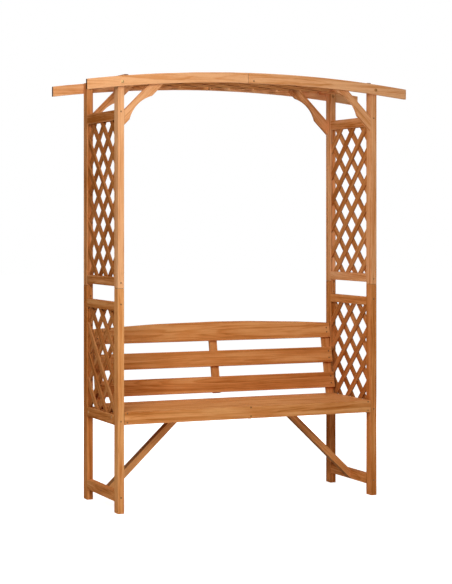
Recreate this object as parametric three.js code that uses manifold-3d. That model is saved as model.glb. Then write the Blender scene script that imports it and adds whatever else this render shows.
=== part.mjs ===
// Arbour seat: a slatted bench between two lattice side frames, under an arched lattice roof.
// Millimetres. +X runs along the bench to the right of someone who faces it, +Y runs to the back,
// +Z is up. The origin is on the ground, in the middle of the four posts.

import * as THREE from "three";
import { mergeVertices } from "three/addons/utils/BufferGeometryUtils.js";
import Module from "manifold-3d";

// Clearances
const fitGap = 0.3; // between two faces that meet
const overrun = 2; // how far a cutter runs past the face that it cuts
const slatBite = 1; // how deep crossing slats are let into each other

// Side frames
const frameSpan = 1290; // outer face of the left frame to outer face of the right frame
const frameDepth = 464; // front face of the front posts to rear face of the rear posts
const postWidth = 30; // along the bench
const postDepth = 48; // front to back
const lowerPostHeight = 990;
const footRailBottom = 49.5;
const footRailHeight = 45;
const seatRailHeight = 45;
const seatRailDrop = 15; // top of the seat rail below the seat surface
const lowerTopRailHeight = 38;
const lowerTopRailDrop = 62; // top of the lower panel below the joint of the posts
const upperBottomRailHeight = 39.5;
const upperBottomRailRise = 9; // underside of the upper panel above the joint of the posts
const upperTopRailHeight = 45;
const upperTopRailDrop = 180.5; // top of the upper panel below the crown of the arch
const postProud = 1.5; // how far a post stands above the top edge of the beam
const jointBlockWidth = 20;
const jointBlockThickness = 9;

// Lattice panels
const slatWidth = 28;
const slatSpacing = 90; // centre to centre of parallel slats
const sideSlatThickness = 8;
const roofSlatThickness = 6.5;
const grooveDepth = 8;
const upperCrossingDropLeft = 5; // a crossing of slats below the upper left panel's top rail
const upperCrossingDropRight = 26;
const upperCrossingShiftRight = -10; // the same crossing behind the centre line, so below zero is in front
const lowerCrossingDropLeft = 19;
const lowerCrossingShiftLeft = 6.5;
const lowerCrossingDropRight = 45.5;
const lowerCrossingShiftRight = 5;
const roofCrossingShift = -33.5; // a crossing on the roof's centre line, to the right of the middle

// Arched beams and roof
const archTop = 1957.5;
const archRadius = 6100;
const beamLength = 1586;
const beamHeight = 46;
const beamThickness = 18;
const seamShift = -24; // joint of the front beam's halves, to the right of the middle
const splicePlateLength = 78;
const splicePlateHeight = 30;
const splicePlateThickness = 12;
const roofDrop = 24.5; // top of the roof lattice below the crown of the arch
const battenWidth = 40;
const battenHeight = 24;
const rebateWidth = 20;

// Bolts through the beams and the posts
const boltRadius = 3;
const boltHoleRadius = 3.5;
const boltDrop = 26; // centre of the bolt below the top edge of the beam
const boltHeadRadius = 7.5;
const boltHeadHeight = 4;
const washerRadius = 8;
const washerThickness = 1.6;
const nutRadius = 5.8;
const nutHeight = 5;
const threadProud = 3;

// Brackets between the posts and the roof
const bracketThickness = 22;
const bracketWidth = 45.5;
const bracketLeg = 147; // height and reach of the straight outer edge
const scoopChord = 150;
const scoopDepth = 20.5;
const longNibAtRoof = 113; // straight stretch of the left brackets' inner edge, at its longer end
const longNibAtPost = 96; // the same stretch of the right brackets

// Seat
const seatHeight = 446;
const seatDepth = 392; // front face of the apron to the rear edge of the boards
const seatBoardThickness = 18;
const seatBoardGap = 6;
const seatBoardCount = 4;
const apronHeight = 56;
const apronThickness = 18;
const bearerHeight = 41;
const bearerThickness = 18;
const rearRailHeight = 38;
const rearRailThickness = 18;

// Braces from the foot rails to the seat
const braceWidth = 30;
const braceDepth = 40; // front to back
const braceReach = 354; // along the seat, measured on the brace's upper edge
const braceFootDrop = 1.5; // upper edge of the brace below the top of the foot rail
const braceShift = -12; // middle of a brace behind the centre line, so below zero is in front

// Back rest
const backLeanShare = 0.204; // how far the back leans to the rear, for each unit of height
const backSlatWidth = 75;
const backSlatThickness = 18;
const backSlatGap = 48;
const backSeatGap = 27.5; // lowest slat above the seat, up the slope
const backSlatInset = 3; // end of a slat inside the side frame's inner face
const topSlatEndWidth = 71;
const topSlatRise = 20.5; // crown of the top slat above its ends
const supportWidth = 37;
const supportThickness = 20;
const supportTopInset = 17; // top of a support below the end of the top slat
const middleSupportShift = -6; // middle support, to the right of the middle
const middleSupportTail = 1.5; // how far it runs below the lowest slat

// Colours
const frameColour = 0xd98d51;
const latticeColour = 0xc07a40;
const seatColour = 0xd28446;
const boltColour = 0xb8904e;
const woodRoughness = 0.62;
const boltRoughness = 0.35;

// Facets of the round stretches
const archSegments = 12;
const scoopSegments = 8;
const topSlatSegments = 14;
const boltSegments = 20;
const nutSides = 6;
const domeSteps = 5;

// Places that follow from the sizes
const quarterTurn = Math.PI / 2;
const eighthTurn = Math.PI / 4;
const diagonalShare = Math.SQRT1_2;
const frameCentre = (frameSpan - postWidth) / 2;
const innerFace = frameSpan / 2 - postWidth; // inner face of a side frame
const postFront = frameDepth / 2; // outer face of a post, front or rear
const postBack = postFront - postDepth; // its inward face
const seatFit = innerFace - fitGap; // half of a length that just fits between the frames
const seatRailTop = seatHeight - seatRailDrop;
const seatUnderside = seatHeight - seatBoardThickness;
const lowerTopRailTop = lowerPostHeight - lowerTopRailDrop;
const upperBottomRailBottom = lowerPostHeight + upperBottomRailRise;
const upperTopRailTop = archTop - upperTopRailDrop;
const beamInner = postFront + fitGap; // inner face of a beam
const sideLatticeThickness = 2 * sideSlatThickness - slatBite;
const roofLatticeThickness = 2 * roofSlatThickness - slatBite;
const roofTop = archTop - roofDrop;
const roofUnderside = roofTop - roofLatticeThickness;

const FRONT = -1;
const REAR = 1;
const LEFT = -1;
const RIGHT = 1;
const faceName = { [FRONT]: "front", [REAR]: "rear" };
const sideName = { [LEFT]: "left", [RIGHT]: "right" };

// Solids and their joins and cuts

const wasm = await Module();
wasm.setup();

// A closed geometry as a solid.
function solid(geometry) {
  geometry.deleteAttribute("normal");
  geometry.deleteAttribute("uv");
  const merged = mergeVertices(geometry);
  return new wasm.Manifold(
    new wasm.Mesh({
      numProp: 3,
      vertProperties: merged.attributes.position.array,
      triVerts: new Uint32Array(merged.index.array),
    }),
  );
}

// A solid as a geometry.
function geometryOf(body) {
  const { vertProperties, triVerts } = body.getMesh();
  const geometry = new THREE.BufferGeometry();
  geometry.setAttribute("position", new THREE.BufferAttribute(vertProperties, 3));
  geometry.setIndex(new THREE.BufferAttribute(triVerts, 1));
  geometry.computeVertexNormals();
  return geometry;
}

// A box between two limits on each axis.
function box([x0, x1], [y0, y1], [z0, z1]) {
  const geometry = new THREE.BoxGeometry(x1 - x0, y1 - y0, z1 - z0);
  return geometry.translate((x0 + x1) / 2, (y0 + y1) / 2, (z0 + z1) / 2);
}

// An outline drawn in X and Z, as a plate between two limits on Y.
function plate(outline, [y0, y1], curveSegments) {
  const geometry = new THREE.ExtrudeGeometry(outline, {
    depth: y1 - y0,
    bevelEnabled: false,
    curveSegments,
  });
  return geometry.rotateX(quarterTurn).translate(0, y1, 0);
}

function outlineOf(points) {
  return new THREE.Shape(points.map(([x, z]) => new THREE.Vector2(x, z)));
}

function wood(color) {
  return new THREE.MeshStandardMaterial({ color, roughness: woodRoughness, metalness: 0 });
}

function brass(color) {
  return new THREE.MeshStandardMaterial({ color, roughness: boltRoughness, metalness: 1 });
}

function piece(name, geometry, material) {
  const mesh = new THREE.Mesh(geometry, material);
  mesh.name = name;
  return mesh;
}

// Height of the beams' top edge at a distance along the bench from the middle.
function archHeight(x) {
  return archTop - archRadius + Math.sqrt(archRadius ** 2 - x ** 2);
}

// Lattice panels

// The stretch of a slat's centre line inside its panel, measured from the foot of the crossing.
function slatRun(foot, run, halfWidth, [low, high]) {
  const across = [-halfWidth, halfWidth].map((limit) => (limit - foot.x) / run.x);
  const along = [low, high].map((limit) => (limit - foot.y) / run.y);
  const start = Math.max(Math.min(...across), Math.min(...along));
  const end = Math.min(Math.max(...across), Math.max(...along));
  return [start, end];
}

// Where a slat ends towards one long edge: short of a block that stands there, or at the edge.
function slatReach(panel, edge, foot, run) {
  const full = panel.height / 2;
  const meets = foot.x + ((edge * full - foot.y) * run.x) / run.y;
  const clearOf = (block) => Math.abs(meets - block.centre) > block.length / 2 + slatWidth * diagonalShare;
  const blocked = panel.blocks.filter((block) => block.edge === edge && !clearOf(block));
  return edge * (blocked.length ? full - blocked[0].depth : full);
}

// One layer of parallel slats. Lean +1 rises to the right and -1 falls to the right.
function slatLayer(panel, lean, height) {
  const angle = lean * eighthTurn;
  const run = new THREE.Vector2(Math.cos(angle), Math.sin(angle));
  const away = new THREE.Vector2(-run.y, run.x);
  const halfWidth = panel.width / 2;
  const longest = panel.width + panel.height;
  const most = Math.ceil(longest / slatSpacing);
  const slats = [];
  for (let step = -most; step <= most; step++) {
    const foot = away.clone().multiplyScalar(step * slatSpacing).add(panel.crossing);
    const low = slatReach(panel, -1, foot, run);
    const high = slatReach(panel, 1, foot, run);
    const [start, end] = slatRun(foot, run, halfWidth, [low, high]);
    // A slat is fitted only where it crosses one of the other layer.
    const lastCrossing = Math.floor(end / slatSpacing) * slatSpacing;
    if (lastCrossing < start) continue;
    const bar = new THREE.BoxGeometry(2 * longest, slatWidth, panel.slatThickness);
    bar.rotateZ(angle).translate(foot.x, foot.y, height);
    const room = box([-halfWidth, halfWidth], [low, high], [-longest, longest]);
    slats.push(solid(bar).intersect(solid(room)));
  }
  return slats;
}

// A lattice lying flat, width along X and height along Y, with the falling layer below.
function latticeGeometry(panel) {
  const rise = (panel.slatThickness - slatBite) / 2;
  const slats = [...slatLayer(panel, -1, -rise), ...slatLayer(panel, 1, rise)];
  return geometryOf(slats.reduce((whole, slat) => whole.add(slat)));
}

// Stands a flat shape up: what ran along X runs to the back, Y runs up and Z runs along the bench.
function stood(geometry) {
  return geometry.rotateX(quarterTurn).rotateZ(quarterTurn);
}

// Side frames, drawn for the right side, with local X pointing outwards from the posts' centre

const grooveWidth = sideLatticeThickness + 2 * fitGap;
const grooveSides = [-grooveWidth / 2, grooveWidth / 2];
const postSides = [-postWidth / 2, postWidth / 2];
const lowerOpening = [seatRailTop, lowerTopRailTop - lowerTopRailHeight];
const upperOpening = [upperBottomRailBottom + upperBottomRailHeight, upperTopRailTop - upperTopRailHeight];

// The groove that a post has for the edge of a lattice, on its inward face.
function postGroove([bottom, top]) {
  const depth = [postBack - overrun, postBack + grooveDepth];
  return solid(box(grooveSides, depth, [bottom - grooveDepth, top + grooveDepth]));
}

function boltHole(x, z) {
  const hole = new THREE.CylinderGeometry(boltHoleRadius, boltHoleRadius, 2 * frameDepth, boltSegments);
  return solid(hole.translate(x, 0, z));
}

const boltHeight = archHeight(frameCentre) - boltDrop;

function lowerPost() {
  const bar = solid(box(postSides, [postBack, postFront], [0, lowerPostHeight]));
  return geometryOf(bar.subtract(postGroove(lowerOpening)));
}

// The upper post's top is cut along the beam's top edge.
function upperPost() {
  const [inner, outer] = postSides;
  const bottom = lowerPostHeight + fitGap;
  const outline = outlineOf([
    [inner, bottom],
    [outer, bottom],
    [outer, archHeight(frameCentre + outer) + postProud],
    [inner, archHeight(frameCentre + inner) + postProud],
  ]);
  const bar = solid(plate(outline, [postBack, postFront]));
  return geometryOf(bar.subtract(postGroove(upperOpening)).subtract(boltHole(0, boltHeight)));
}

// A rail between the posts. Groove +1 is in its top, -1 in its underside and 0 leaves it plain.
function rail([bottom, top], groove) {
  const length = [-postBack + fitGap, postBack - fitGap];
  const bar = solid(box(postSides, length, [bottom, top]));
  if (groove === 0) return geometryOf(bar);
  const cut = groove > 0 ? [top - grooveDepth, top + overrun] : [bottom - overrun, bottom + grooveDepth];
  const ends = [-postBack - overrun, postBack + overrun];
  return geometryOf(bar.subtract(solid(box(grooveSides, ends, cut))));
}

// For each panel a crossing of slats: how far behind the centre line and how far below the top rail.
const upperCrossings = {
  [LEFT]: [0, upperCrossingDropLeft],
  [RIGHT]: [upperCrossingShiftRight, upperCrossingDropRight],
};
const lowerCrossings = {
  [LEFT]: [lowerCrossingShiftLeft, lowerCrossingDropLeft],
  [RIGHT]: [lowerCrossingShiftRight, lowerCrossingDropRight],
};

function sideLattice([bottom, top], [shift, drop]) {
  const hold = grooveDepth - fitGap;
  const middle = (bottom + top) / 2;
  const panel = {
    width: 2 * (postBack + hold),
    height: top - bottom + 2 * hold,
    crossing: new THREE.Vector2(shift, top - drop - middle),
    slatThickness: sideSlatThickness,
    blocks: [],
  };
  return stood(latticeGeometry(panel)).translate(0, 0, middle);
}

// The block in the gap between the panels that ties the two lengths of a post together.
function jointBlock() {
  const sides = [-jointBlockWidth / 2, jointBlockWidth / 2];
  const depth = [postBack - fitGap - jointBlockThickness, postBack - fitGap];
  return box(sides, depth, [lowerTopRailTop + fitGap, upperBottomRailBottom - fitGap]);
}

function sideFrame(side) {
  const frame = new THREE.Group();
  frame.position.x = side * frameCentre;
  frame.scale.x = side;
  const at = sideName[side];
  const rails = {
    foot_rail: [[footRailBottom, footRailBottom + footRailHeight], 0],
    seat_rail: [[seatRailTop - seatRailHeight, seatRailTop], 1],
    lower_panel_top_rail: [[lowerTopRailTop - lowerTopRailHeight, lowerTopRailTop], -1],
    upper_panel_bottom_rail: [[upperBottomRailBottom, upperOpening[0]], 1],
    upper_panel_top_rail: [[upperOpening[1], upperTopRailTop], -1],
  };
  for (const [name, [span, groove]] of Object.entries(rails)) {
    frame.add(piece(`${name}_${at}`, rail(span, groove), wood(frameColour)));
  }
  const lower = sideLattice(lowerOpening, lowerCrossings[side]);
  const upper = sideLattice(upperOpening, upperCrossings[side]);
  frame.add(piece(`lower_lattice_${at}`, lower, wood(latticeColour)));
  frame.add(piece(`upper_lattice_${at}`, upper, wood(latticeColour)));
  for (const face of [FRONT, REAR]) {
    const posts = new THREE.Group();
    posts.scale.y = face;
    const place = `${faceName[face]}_${at}`;
    posts.add(piece(`lower_post_${place}`, lowerPost(), wood(frameColour)));
    posts.add(piece(`upper_post_${place}`, upperPost(), wood(frameColour)));
    posts.add(piece(`joint_block_${place}`, jointBlock(), wood(frameColour)));
    frame.add(posts);
  }
  return frame;
}

// Beams, drawn for the front, with the inner face of the beam at local Y zero

// The half of a beam from its joint to its end, with the top and bottom edges on one centre.
function beamHalf(from, to) {
  const centre = archTop - archRadius;
  const inside = archRadius - beamHeight;
  const angle = (x, radius) => Math.acos(x / radius);
  const outline = new THREE.Shape();
  outline.absarc(0, centre, archRadius, angle(from, archRadius), angle(to, archRadius), to > from);
  outline.absarc(0, centre, inside, angle(to, inside), angle(from, inside), from > to);
  const bar = solid(plate(outline, [-beamThickness, 0], archSegments));
  return geometryOf(bar.subtract(boltHole(Math.sign(to - from) * frameCentre, boltHeight)));
}

function splicePlate() {
  const length = [seamShift - splicePlateLength / 2, seamShift + splicePlateLength / 2];
  const bottom = archTop - beamHeight;
  return box(length, [fitGap, fitGap + splicePlateThickness], [bottom, bottom + splicePlateHeight]);
}

// A domed bolt from the beam's outer face, with its washer and nut on the post's inward face.
function bolt() {
  const headSeat = -beamThickness - fitGap;
  const washerSeat = beamInner - postBack + fitGap;
  const washerEnd = washerSeat + washerThickness;
  const nutEnd = washerEnd + nutHeight;
  const tip = nutEnd + threadProud;
  const dome = Array.from({ length: domeSteps + 1 }, (_, step) => {
    const angle = (step / domeSteps) * quarterTurn;
    return [boltHeadRadius * Math.sin(angle), headSeat - boltHeadHeight * Math.cos(angle)];
  });
  const profile = [
    ...dome,
    [boltRadius, headSeat],
    [boltRadius, washerSeat],
    [washerRadius, washerSeat],
    [washerRadius, washerEnd],
    [boltRadius, washerEnd],
    [boltRadius, tip],
    [0, tip],
  ];
  const round = new THREE.LatheGeometry(
    profile.map(([radius, y]) => new THREE.Vector2(radius, y)),
    boltSegments,
  );
  const nut = new THREE.CylinderGeometry(nutRadius, nutRadius, nutHeight, nutSides);
  nut.translate(0, (washerEnd + nutEnd) / 2, 0);
  return geometryOf(solid(round).add(solid(nut)));
}

// The rear beam is the front one turned round.
function archedBeam(face) {
  const turned = -face;
  const beam = new THREE.Group();
  beam.position.y = face * beamInner;
  beam.rotation.z = face === REAR ? Math.PI : 0;
  const at = faceName[face];
  for (const side of [LEFT, RIGHT]) {
    const name = `${at}_${sideName[side * turned]}`;
    const seam = seamShift + (side * fitGap) / 2;
    beam.add(piece(`beam_${name}`, beamHalf(seam, (side * beamLength) / 2), wood(frameColour)));
    const fastener = piece(`beam_bolt_${name}`, bolt(), brass(boltColour));
    fastener.position.set(side * frameCentre, 0, boltHeight);
    beam.add(fastener);
  }
  beam.add(piece(`splice_plate_${at}`, splicePlate(), wood(frameColour)));
  return beam;
}

// Roof

// The batten at one end of the roof, drawn for the right, with a rebate for the lattice.
function roofBatten() {
  const inner = seatFit - battenWidth;
  const length = [-postFront, postFront];
  const bar = solid(box([inner, seatFit], length, [roofTop - battenHeight, roofTop]));
  const step = box(
    [inner - overrun, inner + rebateWidth],
    [-frameDepth, frameDepth],
    [roofUnderside - fitGap, roofTop + overrun],
  );
  return geometryOf(bar.subtract(solid(step)));
}

// The flat lattice between the beams. Its slats stop short of the splice plates.
function roofLattice() {
  const blocks = [FRONT, REAR].map((edge) => ({
    edge,
    centre: -edge * seamShift,
    length: splicePlateLength,
    depth: splicePlateThickness + fitGap,
  }));
  const panel = {
    width: 2 * (seatFit - battenWidth + rebateWidth - fitGap),
    height: 2 * postFront,
    crossing: new THREE.Vector2(roofCrossingShift, 0),
    slatThickness: roofSlatThickness,
    blocks,
  };
  return latticeGeometry(panel).translate(0, 0, roofUnderside + roofLatticeThickness / 2);
}

// A bracket drawn along its straight outer edge, from the post to the roof.
function bracketOutline(nibAtPost) {
  const edge = bracketLeg / diagonalShare;
  const scoopStart = nibAtPost - bracketWidth;
  const scoopEnd = scoopStart + scoopChord;
  const radius = (scoopChord ** 2 / 4 + scoopDepth ** 2) / (2 * scoopDepth);
  const half = Math.asin(scoopChord / 2 / radius);
  const centre = bracketWidth + radius - scoopDepth;
  const outline = new THREE.Shape();
  outline.moveTo(0, 0);
  outline.lineTo(edge, 0);
  outline.lineTo(edge + bracketWidth, bracketWidth);
  outline.lineTo(scoopEnd, bracketWidth);
  outline.absarc(
    (scoopStart + scoopEnd) / 2,
    centre,
    radius,
    half - quarterTurn,
    -half - quarterTurn,
    true,
  );
  outline.lineTo(-bracketWidth, bracketWidth);
  return outline;
}

// The brackets of the right pair have their long nib at the post, and those of the left pair at the roof.
function bracket(face, side) {
  const innerEdge = bracketLeg / diagonalShare + 2 * bracketWidth;
  const nibAtPost = side === RIGHT ? longNibAtPost : innerEdge - scoopChord - longNibAtRoof;
  const shape = plate(bracketOutline(nibAtPost), [-bracketThickness, 0], scoopSegments);
  shape.rotateY(-eighthTurn - quarterTurn);
  shape.translate(seatFit, 0, roofUnderside - fitGap - bracketLeg);
  const mesh = piece(`bracket_${faceName[face]}_${sideName[side]}`, shape, wood(frameColour));
  mesh.position.y = face * postFront;
  mesh.scale.set(side, face, 1);
  return mesh;
}

function roof() {
  const group = new THREE.Group();
  group.add(piece("roof_lattice", roofLattice(), wood(latticeColour)));
  for (const side of [LEFT, RIGHT]) {
    const batten = piece(`roof_batten_${sideName[side]}`, roofBatten(), wood(frameColour));
    batten.scale.x = side;
    group.add(batten);
    for (const face of [FRONT, REAR]) {
      group.add(bracket(face, side));
    }
  }
  return group;
}

// Seat

const apronBack = -postFront + apronThickness;
const seatRear = -postFront + seatDepth;

function seatBoard(index) {
  const first = apronBack + fitGap;
  const width = (seatRear - first - (seatBoardCount - 1) * seatBoardGap) / seatBoardCount;
  const start = first + index * (width + seatBoardGap);
  return box([-seatFit, seatFit], [start, start + width], [seatUnderside, seatHeight]);
}

// A bearer under the boards, between two limits along the bench.
function bearer(across, rear) {
  const top = seatUnderside - fitGap;
  return box(across, [apronBack + fitGap, rear], [top - bearerHeight, top]);
}

function seat() {
  const group = new THREE.Group();
  const apronSpan = [seatHeight - apronHeight, seatHeight];
  const apron = box([-seatFit, seatFit], [-postFront, apronBack], apronSpan);
  group.add(piece("seat_apron", apron, wood(seatColour)));
  for (let index = 0; index < seatBoardCount; index++) {
    group.add(piece(`seat_board_${index + 1}`, seatBoard(index), wood(seatColour)));
  }
  const endBearer = [seatFit - bearerThickness, seatFit];
  for (const side of [LEFT, RIGHT]) {
    const shape = bearer(endBearer, postBack - fitGap);
    const mesh = piece(`seat_bearer_${sideName[side]}`, shape, wood(frameColour));
    mesh.scale.x = side;
    group.add(mesh);
  }
  const railFront = seatRear - rearRailThickness;
  const railEnd = endBearer[0] - fitGap;
  const railTop = seatUnderside - fitGap;
  const rearRail = box([-railEnd, railEnd], [railFront, seatRear], [railTop - rearRailHeight, railTop]);
  group.add(piece("seat_rear_rail", rearRail, wood(frameColour)));
  const middle = [-bearerThickness / 2, bearerThickness / 2];
  group.add(piece("seat_bearer_middle", bearer(middle, railFront - fitGap), wood(frameColour)));
  return group;
}

// A brace drawn for the right: cut upright against the foot rail and level under the seat.
function brace() {
  const foot = footRailBottom + footRailHeight - braceFootDrop;
  const head = seatUnderside - fitGap;
  const slope = Math.atan2(head - foot, braceReach);
  const headX = seatFit - braceReach;
  const outline = outlineOf([
    [seatFit, foot],
    [headX, head],
    [headX - braceWidth / Math.sin(slope), head],
    [seatFit, foot - braceWidth / Math.cos(slope)],
  ]);
  return plate(outline, [braceShift - braceDepth / 2, braceShift + braceDepth / 2]);
}

function braces() {
  const group = new THREE.Group();
  for (const side of [LEFT, RIGHT]) {
    const mesh = piece(`seat_brace_${sideName[side]}`, brace(), wood(frameColour));
    mesh.scale.x = side;
    group.add(mesh);
  }
  return group;
}

// Back rest

const lean = Math.atan(backLeanShare);
const supportDepth = supportThickness / Math.cos(lean); // measured level
const supportFoot = seatRear - supportDepth; // front of the supports where they stand on the seat
const topSlatBottom = backSeatGap + 2 * (backSlatWidth + backSlatGap);
const supportTop = topSlatBottom + topSlatEndWidth - supportTopInset;
const backSlatEnd = innerFace - backSlatInset;

// The slats are drawn in the leaning plane: X along the bench, Y behind it and Z up the slope.
function straightSlat(index) {
  const bottom = backSeatGap + index * (backSlatWidth + backSlatGap);
  const depth = [-backSlatThickness - fitGap, -fitGap];
  return box([-backSlatEnd, backSlatEnd], depth, [bottom, bottom + backSlatWidth]);
}

function topSlat() {
  const shoulder = topSlatBottom + topSlatEndWidth;
  const radius = (backSlatEnd ** 2 + topSlatRise ** 2) / (2 * topSlatRise);
  const half = Math.asin(backSlatEnd / radius);
  const outline = new THREE.Shape();
  outline.moveTo(-backSlatEnd, topSlatBottom);
  outline.lineTo(backSlatEnd, topSlatBottom);
  outline.absarc(0, shoulder + topSlatRise - radius, radius, quarterTurn - half, quarterTurn + half, false);
  return plate(outline, [-backSlatThickness - fitGap, -fitGap], topSlatSegments);
}

// A support behind the slats, from a point up the slope to its top.
function support(centre, bottom) {
  const across = [centre - supportWidth / 2, centre + supportWidth / 2];
  return box(across, [0, supportThickness], [bottom, supportTop]);
}

// An end support, flush with the slats' ends, with its foot cut level to stand on the rear board.
function endSupport() {
  const lift = fitGap / Math.cos(lean);
  const heel = supportThickness * Math.tan(lean);
  const outline = outlineOf([
    [0, lift],
    [supportThickness, lift + heel],
    [supportThickness, supportTop],
    [0, supportTop],
  ]);
  const side = new THREE.ExtrudeGeometry(outline, { depth: supportWidth, bevelEnabled: false });
  return stood(side).translate(backSlatEnd - supportWidth, 0, 0);
}

function backRest() {
  const group = new THREE.Group();
  group.position.set(0, supportFoot, seatHeight);
  group.rotation.x = -lean;
  group.add(piece("back_slat_bottom", straightSlat(0), wood(seatColour)));
  group.add(piece("back_slat_middle", straightSlat(1), wood(seatColour)));
  group.add(piece("back_slat_top", topSlat(), wood(seatColour)));
  for (const side of [LEFT, RIGHT]) {
    const mesh = piece(`back_support_${sideName[side]}`, endSupport(), wood(frameColour));
    mesh.scale.x = side;
    group.add(mesh);
  }
  const middle = support(middleSupportShift, backSeatGap - middleSupportTail);
  group.add(piece("back_support_middle", middle, wood(frameColour)));
  return group;
}

const arbourSeat = new THREE.Group();
arbourSeat.add(sideFrame(LEFT), sideFrame(RIGHT));
arbourSeat.add(archedBeam(FRONT), archedBeam(REAR), roof());
arbourSeat.add(seat(), braces(), backRest());

export default arbourSeat;
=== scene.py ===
import math
import random

import bmesh
import bpy
import numpy as np
from mathutils import Matrix, Vector


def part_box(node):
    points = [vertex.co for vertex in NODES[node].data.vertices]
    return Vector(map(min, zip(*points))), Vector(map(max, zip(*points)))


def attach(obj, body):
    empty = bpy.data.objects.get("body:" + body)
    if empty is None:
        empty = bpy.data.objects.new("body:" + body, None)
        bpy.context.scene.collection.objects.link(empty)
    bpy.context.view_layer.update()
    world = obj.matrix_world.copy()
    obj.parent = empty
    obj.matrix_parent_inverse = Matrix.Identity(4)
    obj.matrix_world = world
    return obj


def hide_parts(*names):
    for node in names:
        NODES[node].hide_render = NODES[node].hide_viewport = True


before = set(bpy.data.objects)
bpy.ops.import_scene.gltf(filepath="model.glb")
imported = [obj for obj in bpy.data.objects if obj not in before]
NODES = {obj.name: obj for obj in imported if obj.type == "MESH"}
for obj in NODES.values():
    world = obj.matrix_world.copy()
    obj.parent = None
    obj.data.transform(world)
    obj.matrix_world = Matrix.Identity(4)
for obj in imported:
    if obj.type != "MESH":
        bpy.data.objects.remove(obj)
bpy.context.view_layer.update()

X, Y, Z = Vector((1, 0, 0)), Vector((0, 1, 0)), Vector((0, 0, 1))
SIDES = {"left": -1, "right": 1}
FACES = {"front": -1, "rear": 1}
RAILS = ("foot_rail", "seat_rail", "lower_panel_top_rail", "upper_panel_bottom_rail", "upper_panel_top_rail")
HALF_ROOT = math.sqrt(0.5)  # a diagonal step of one goes this far on each of its two axes

# Edges of the boards. All lengths are in metres.
WELD = 1e-5
FLAT_ANGLE = math.radians(1)
SHARP_ANGLE = math.radians(30)
SHORTEST_BEVEL = 0.006  # shorter edges stay sharp
FRAME_BEVEL = 0.0018
SEAT_BEVEL = 0.0028
SLAT_BEVEL = 0.0009
BEVEL_STEPS = 2

# How dark the ends of the boards are, from their end grain, and how much painted shade the sawn sides of
# slats, roof slats and braces take in the same dark colour
END_COSINE = 0.7  # a face whose normal is this close to an axis belongs to that axis
END_SHARE = 1.0
BACK_END_SHARE = 0.4
SLAT_SIDE_SHADE = 0.2
ROOF_SIDE_SHADE = 0.45
BRACE_SIDE_SHADE = 0.65

# Where the middle of a board lies in its log: along it, to the side of the pith and away from it
LOG_LENGTH = 90  # long enough that two boards hardly ever share a stretch
LOG_SIDE = 0.03
LOG_NEAR, LOG_FAR = 0.018, 0.06

# Tone of the boards, pale below zero and deep above it, by the start of their names. They were set board by
# board against the brightness of each board, so besides the wood's own tone they carry painted light and
# shade where the lamps fall short, as on the deep outer rails of the left frame and the pale left brace.
TONE_SPREAD = 0.12
LATTICE_SPREAD = 0.5
TONES_AND_PAINTED_LIGHT = (
    ("upper_post_front_left", -1.0), ("upper_post_rear_left", 0.6),
    ("upper_post_front_right", -0.4), ("upper_post_rear_right", -0.3),
    ("lower_post_front_left", -0.7), ("lower_post_rear_left", 0.9),
    ("lower_post_front_right", 0.7), ("lower_post_rear_right", 0.6),
    ("beam_front_left", -1.1), ("beam_front_right", -0.8), ("beam_rear", -0.4), ("splice", 0.0),
    ("foot_rail_left", 0.1), ("foot_rail_right", 0.4), ("seat_rail_left", 0.4), ("seat_rail_right", 0.3),
    ("lower_panel_top_rail_left", 0.6), ("lower_panel_top_rail_right", 0.3),
    ("upper_panel_bottom_rail_left", 0.8), ("upper_panel_bottom_rail_right", -0.3),
    ("upper_panel_top_rail_left", 2.0), ("upper_panel_top_rail_right", 0.4),
    ("bracket_front_left", -0.8), ("bracket_front_right", -0.2), ("bracket", 0.2),
    ("joint_block", 0.3), ("roof_batten", 0.1), ("seat_brace_left", -2.2), ("seat_brace_right", -0.6),
    ("seat_board", -0.7), ("seat_apron", 0.0), ("back_slat_bottom", 0.4), ("back_slat", 0.0),
    ("back_support", 0.0), ("seat", 0.4),
    ("upper_lattice_left", 0.5), ("lower_lattice_left", 0.2), ("upper_lattice_right", -0.1),
    ("lower_lattice_right", 0.1), ("roof_lattice", -0.9),
)
LOWER_BOARDS = ("lower_", "foot_rail", "seat_", "back_")  # these take the seat wood's colours, deeper and more saturated than those above

# Lattice panels, which repeat the sizes of the CAD slats
SLAT_WIDTH = 0.028
SLAT_SPACING = 0.090
GROOVE_HOLD = 0.0077
FIT_GAP = 0.0003
CROSSINGS = {  # how far a crossing of slats lies behind the centre line, and below the top rail
    "upper_lattice_left": (0.0, 0.005), "upper_lattice_right": (-0.010, 0.026),
    "lower_lattice_left": (0.0065, 0.019), "lower_lattice_right": (0.005, 0.0455),
}
ROOF_CROSSING = -0.0335  # X of a crossing on the roof's centre line

# Staples over the crossings of the slats
STAPLE_LENGTH = 0.0095
STAPLE_RADIUS = 0.00055
STAPLE_STEPS = 8
STAPLE_STRAY = 0.004
STAPLE_TURN = 0.25

# Back rest
BACK_LEAN = 0.204  # to the rear, for each metre up
BACK_SLAT_THICKNESS = 0.018
BACK_SLAT_WIDTHS = {"bottom": 0.075, "middle": 0.075, "top": 0.071}
BACK_SCREW_SHARES = {"bottom": (0.28, 0.72), "middle": (0.28, 0.72), "top": (0.35, 0.65)}

# Screws: head, countersink and cross recess
HEAD_RADIUS = 0.0036
HEAD_SINK = 0.0004
SINK_RADIUS = 0.0041
SINK_DEPTH = 0.002542
SHANK_RADIUS = 0.0018
HOLE_DEPTH = 0.00984
HEAD_DEPTH = 0.00198
HEAD_FOOT_RADIUS = 0.00171
RECESS_REACH = 0.0021
RECESS_WIDTH = 0.0009
RECESS_DEPTH = 0.0009
RECESS_TAPER = (0.6, 0.8)  # the recess's floor as shares of its lip
ROUND_STEPS = 24
ALONG_COSINE = 0.9  # a surface whose normal is this close to X takes its second axis from Y

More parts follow.
